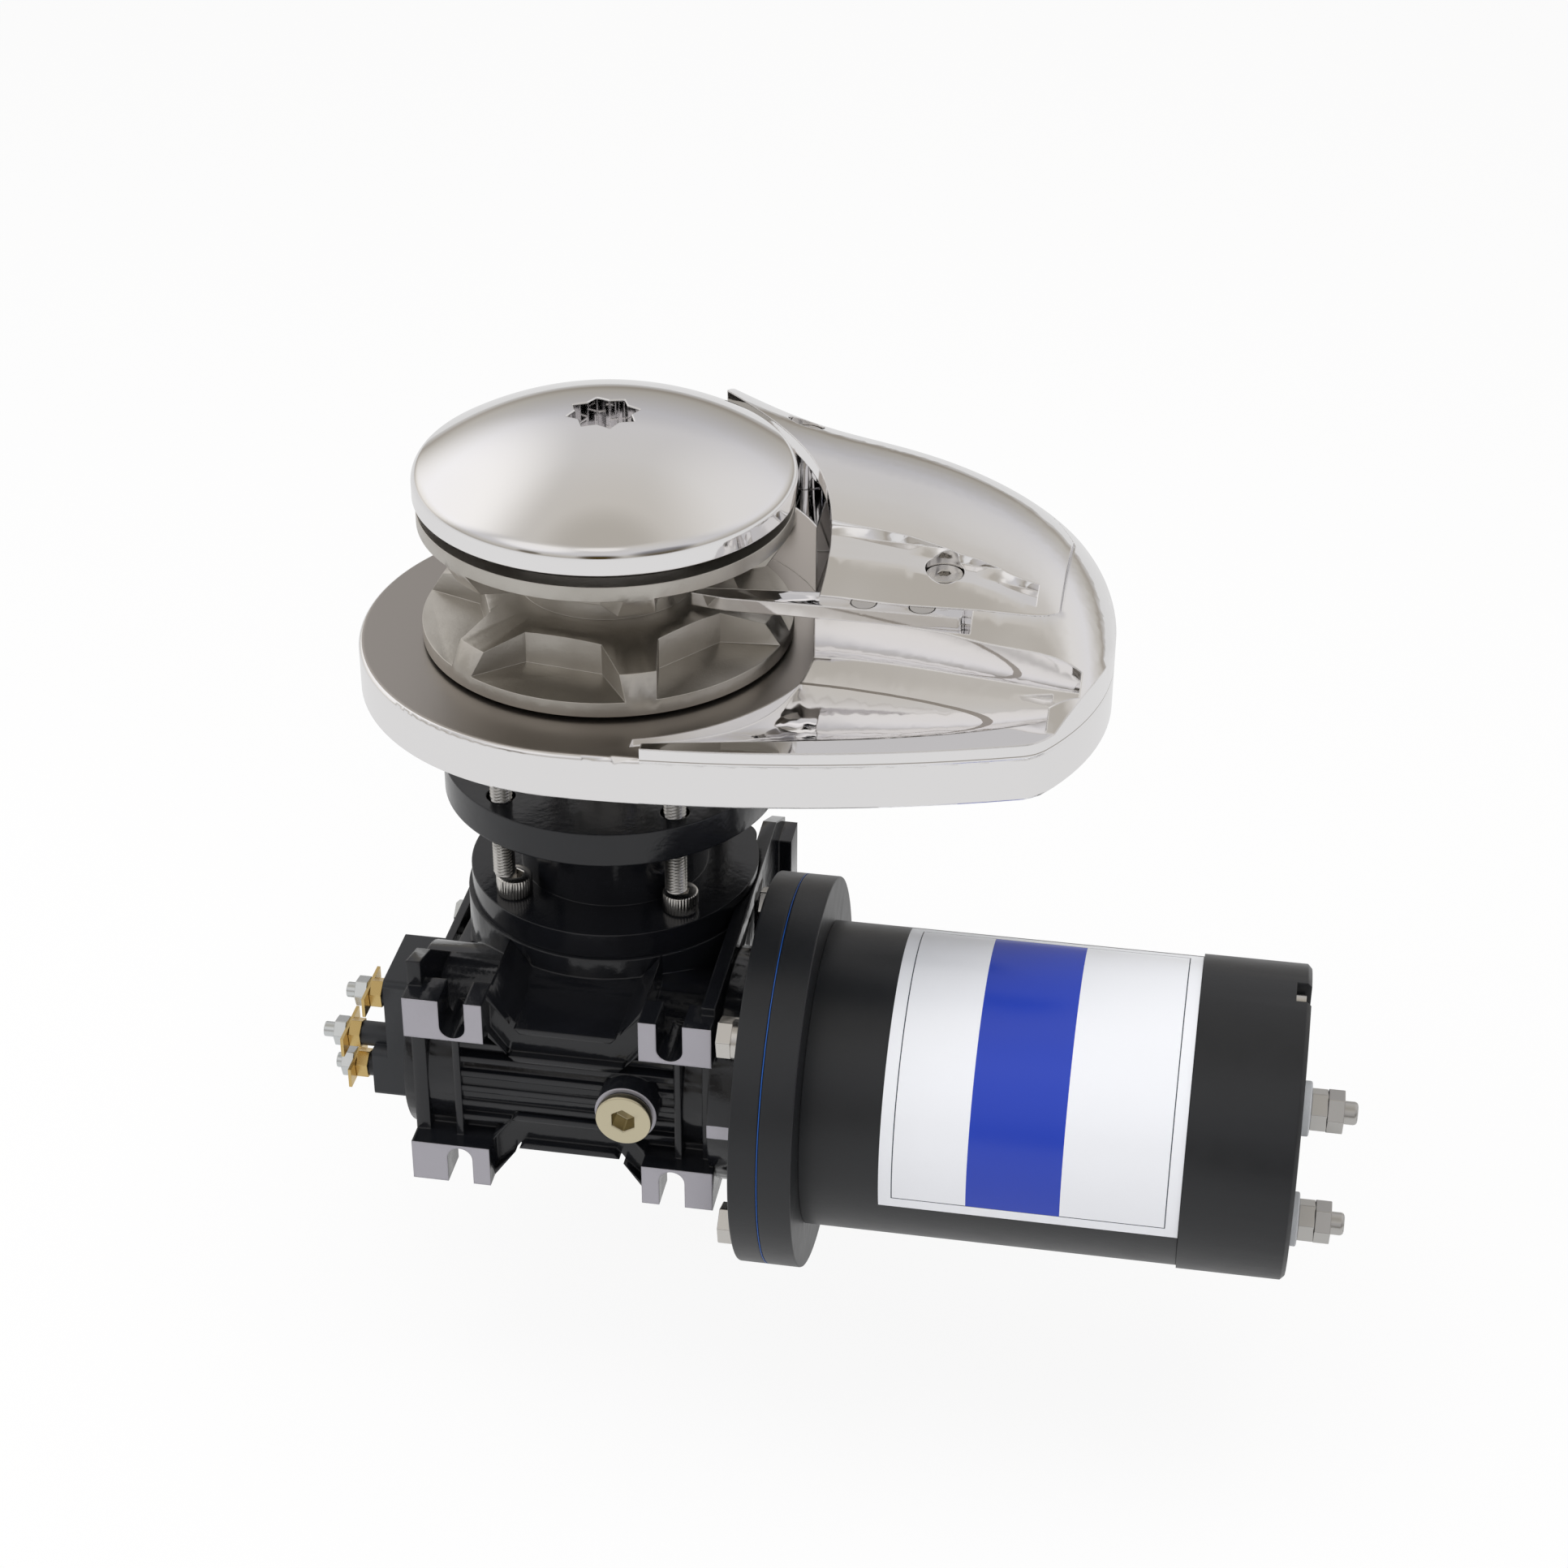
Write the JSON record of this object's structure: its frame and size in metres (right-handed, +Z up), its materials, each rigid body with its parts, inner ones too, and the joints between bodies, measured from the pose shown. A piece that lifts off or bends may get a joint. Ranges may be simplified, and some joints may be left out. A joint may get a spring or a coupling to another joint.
{
  "type": "anchor windlass",
  "caption": "Vertical electric anchor windlass: polished chain wheel, clutch cap and chain cover on a deck plate, with a black worm gearbox and electric motor hung below the deck.",
  "frame": {"origin": "on the axis of the chain wheel, in the underside of the deck plate, which lies on the boat's deck", "axes": "+Z up along the chain wheel's axis; +X from the chain wheel to the bow end of the deck plate, and along the motor; -Y towards the gearbox's feet, which is the front in the picture"},
  "size_m": [0.383, 0.2075, 0.2985],
  "materials": {
    "polished_steel": "polished stainless steel",
    "satin_steel": "brushed stainless steel",
    "bright_steel": "ground or bright steel",
    "gear_bronze": "machined bronze",
    "brass": "bright brass",
    "zinc": "zinc plated",
    "black_paint": "gloss black",
    "satin_black": "satin black",
    "black_rubber": "matt",
    "black_plastic": "moulded",
    "grey_plastic": "moulded",
    "blue_sealant": "thin bead",
    "white_label": "white film with a blue band and a thin border line",
    "core_iron": "iron laminations and windings",
    "magnet": "ceramic magnet",
    "copper": "copper bars",
    "carbon": "carbon",
    "bush_plastic": "plain bearing plastic"
  },
  "bodies": {
    "housing": {"deck_plate": "polished_steel", "chain_cover": "polished_steel", "cover_screws": "bright_steel", "chain_stripper": "polished_steel", "stripper_screws": "bright_steel", "shaft_bush": "bush_plastic", "shaft_seal": "black_rubber", "deck_studs": "satin_steel", "adaptor": "black_paint", "adaptor_screws": "bright_steel", "gearbox_housing": "black_paint", "gearbox_cover": "black_paint", "gearbox_cover_screws": "bright_steel", "worm_bearings": "bright_steel", "wheel_bearings": "bright_steel", "oil_seal": "black_rubber", "worm_end_cap": "black_paint", "oil_plug": "zinc", "oil_plug_washer": "black_rubber", "motor_flange": "satin_black", "flange_screws": "bright_steel", "flange_sealant": "blue_sealant", "motor_shield": "satin_black", "flange_bolts": "bright_steel", "flange_bolt_washers": "bright_steel", "motor_can": "satin_black", "motor_magnets": "magnet", "brushes": "carbon", "brush_holder": "black_plastic", "motor_bearings": "bright_steel", "motor_end_cap": "satin_black", "end_cap_screws": "bright_steel", "motor_label": "white_label", "terminal_insulators": "grey_plastic", "terminal_studs": "satin_steel", "terminal_nuts": "satin_steel", "contactor_bracket": "black_paint", "bracket_screws": "zinc", "contactor_body": "black_plastic", "contactor_screws": "zinc", "contactor_studs": "zinc", "contactor_tabs": "brass", "contactor_brass_nuts": "brass", "contactor_steel_nuts": "zinc"},
    "drive_shaft": {"main_shaft": "bright_steel", "shaft_keys": "bright_steel", "shaft_clip": "bright_steel", "worm_wheel": "gear_bronze", "thrust_washer": "bush_plastic", "lower_clutch_cone": "satin_steel"},
    "rotor": {"worm": "bright_steel", "armature": "core_iron", "motor_key": "bright_steel", "commutator": "copper"},
    "chain_wheel": {"chain_wheel": "polished_steel"},
    "clutch_cone": {"upper_clutch_cone": "satin_steel"},
    "clutch_cap": {"clutch_cap": "polished_steel"}
  },
  "joints": [
    {"name": "rotor_turn", "type": "hinge", "parent": "housing", "child": "rotor", "pos_m": [0, -0.05, -0.129], "axis": [1, 0, 0], "continuous": true},
    {"name": "shaft_turn", "type": "hinge", "parent": "housing", "child": "drive_shaft", "pos_m": [0, 0, 0], "axis": [0, 0, 1], "continuous": true},
    {"name": "wheel_turn", "type": "hinge", "parent": "drive_shaft", "child": "chain_wheel", "pos_m": [0, 0, 0.0425], "axis": [0, 0, 1], "continuous": true},
    {"name": "cone_lift", "type": "slide", "parent": "drive_shaft", "child": "clutch_cone", "axis": [0, 0, 1], "range_m": [0, 0.0025]},
    {"name": "cap_turn", "type": "hinge", "parent": "clutch_cone", "child": "clutch_cap", "pos_m": [0, 0, 0.08], "axis": [0, 0, 1], "range_deg": [0, 360]}
  ],
  "couplings": [
    {"joint": "shaft_turn", "follows": "rotor_turn", "ratio": -0.025},
    {"joint": "cone_lift", "follows": "cap_turn", "m_per_rad": 0.00039788}
  ]
}
